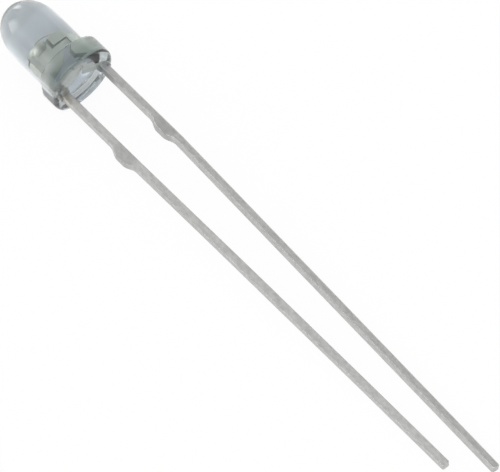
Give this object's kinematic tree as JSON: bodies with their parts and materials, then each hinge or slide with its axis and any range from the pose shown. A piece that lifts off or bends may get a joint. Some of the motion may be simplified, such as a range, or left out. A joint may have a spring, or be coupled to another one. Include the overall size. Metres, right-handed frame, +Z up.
{
  "type": "through hole led",
  "caption": "Clear domed light emitting diode with a flanged epoxy body, a flat on the cathode side and long stamped leads, the cathode lead shorter.",
  "frame": {"origin": "on the surface that the part lies on, under the middle of its box", "axes": "+X along the part from the dome to the tips of the leads, +Y across it from the cathode lead to the anode lead, +Z up, square to the flat side of the leads but for the small tilt at which the part rests"},
  "size_m": [0.0342, 0.0036, 0.0039],
  "materials": {
    "clear_epoxy": "clear, glossy",
    "tinned_steel": "dull tin plate",
    "silver_glue": "matte",
    "chip": "satin",
    "gold": "bright"
  },
  "bodies": {
    "root": {"lens": "clear_epoxy", "cathode_lead": "tinned_steel", "anode_lead": "tinned_steel", "die_glue": "silver_glue", "die": "chip", "bond_pad": "gold", "bond_wire": "gold"}
  },
  "joints": []
}
